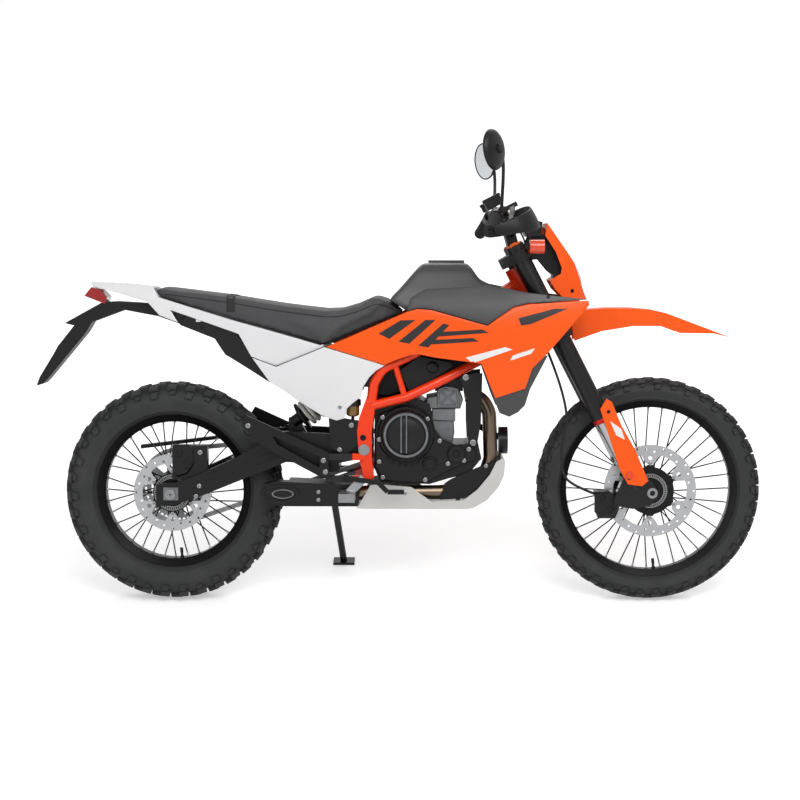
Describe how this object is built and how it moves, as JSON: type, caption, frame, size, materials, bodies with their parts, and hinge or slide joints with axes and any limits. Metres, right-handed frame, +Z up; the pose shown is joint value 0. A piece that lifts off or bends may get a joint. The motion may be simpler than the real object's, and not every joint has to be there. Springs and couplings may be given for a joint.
{
  "type": "dual sport motorcycle",
  "caption": "Single-cylinder dual sport motorcycle with a tubular frame, upside-down fork, knobbly tyres on wire wheels, high front fender and a side stand it leans on.",
  "frame": {"origin": "centre of the bounding box, on the ground, with the machine leaning on its side stand", "axes": "+X forward along the machine, +Y to the rider's left, +Z up"},
  "size_m": [2.246, 0.8364, 1.482],
  "materials": {
    "frame_paint": "satin",
    "black_paint": "satin",
    "black_rim": "gloss",
    "black_plastic": "matte",
    "tyre_rubber": "matte",
    "soft_rubber": "matte",
    "disc_steel": "satin",
    "plain_steel": "satin",
    "cast_aluminium": "satin",
    "orange_plastic": "gloss",
    "white_plastic": "gloss",
    "grey_plastic": "matte",
    "seat_cover": "matte",
    "bright_chrome": "polished",
    "header_steel": "satin",
    "shock_white": "gloss",
    "red_lens": "gloss",
    "amber_lens": "gloss"
  },
  "bodies": {
    "chassis": {"main_frame": "frame_paint", "subframe": "black_paint", "swingarm": "black_paint", "swingarm_bolt": "plain_steel", "rear_axle": "plain_steel", "rear_shock": "shock_white", "engine_case": "black_paint", "engine_covers": "black_paint", "cylinder_head": "cast_aluminium", "engine_hanger": "black_paint", "airbox_cover": "black_paint", "radiators": "cast_aluminium", "exhaust_header": "header_steel", "heat_shield": "black_plastic", "muffler": "black_paint", "skid_plate": "cast_aluminium", "fuel_tank": "grey_plastic", "tank_covers": "grey_plastic", "side_shrouds": "orange_plastic", "lower_shrouds": "orange_plastic", "side_panels": "white_plastic", "tail_panel": "white_plastic", "seat": "seat_cover", "plate_holder": "black_plastic", "tail_light": "red_lens", "chain": "disc_steel", "chain_guard": "black_plastic", "rear_brake": "black_paint", "footpegs": "plain_steel", "foot_controls": "black_paint", "passenger_brackets": "black_paint", "horn": "black_paint"},
    "steering": {"triple_clamps": "black_paint", "fork_tubes": "black_paint", "fork_legs": "bright_chrome", "handlebar": "black_paint", "grips": "soft_rubber", "levers": "black_paint", "mirrors": "black_plastic", "dash": "black_plastic", "headlight_mask": "orange_plastic", "headlight": "black_plastic", "indicators": "amber_lens", "front_fender": "orange_plastic", "fork_guards": "orange_plastic", "front_caliper": "black_paint", "front_brake_hose": "soft_rubber", "front_axle": "plain_steel"},
    "front_wheel": {"front_tyre": "tyre_rubber", "front_rim": "black_rim", "front_hub": "black_rim", "front_disc": "disc_steel"},
    "rear_wheel": {"rear_tyre": "tyre_rubber", "rear_rim": "black_rim", "rear_hub": "black_rim", "rear_disc": "disc_steel", "rear_sprocket": "disc_steel"},
    "side_stand": {"side_stand": "black_paint"},
    "fuel_cap": {"fuel_cap": "grey_plastic"}
  },
  "joints": [
    {"name": "steering", "type": "hinge", "parent": "chassis", "child": "steering", "pos_m": [0.44816, -0.06895, 0.83801], "axis": [-0.4555, 0.1699, 0.8739], "range_deg": [-40, 40]},
    {"name": "front_wheel_spin", "type": "hinge", "parent": "steering", "child": "front_wheel", "pos_m": [0.77531, -0.16509, 0.34341], "axis": [0, 0.9816, -0.1908], "continuous": true},
    {"name": "rear_wheel_spin", "type": "hinge", "parent": "chassis", "child": "rear_wheel", "pos_m": [-0.69969, -0.16644, 0.33644], "axis": [0, 0.9816, -0.1908], "continuous": true},
    {"name": "side_stand_pivot", "type": "hinge", "parent": "chassis", "child": "side_stand", "pos_m": [-0.21969, -0.03862, 0.32321], "axis": [0.1583, 0.9273, 0.3393], "range_deg": [0, 99.7]},
    {"name": "fuel_cap_hinge", "type": "hinge", "parent": "chassis", "child": "fuel_cap", "pos_m": [0.20891, -0.03155, 1.03038], "axis": [0, 0.9816, -0.1908], "range_deg": [0, 95]}
  ]
}
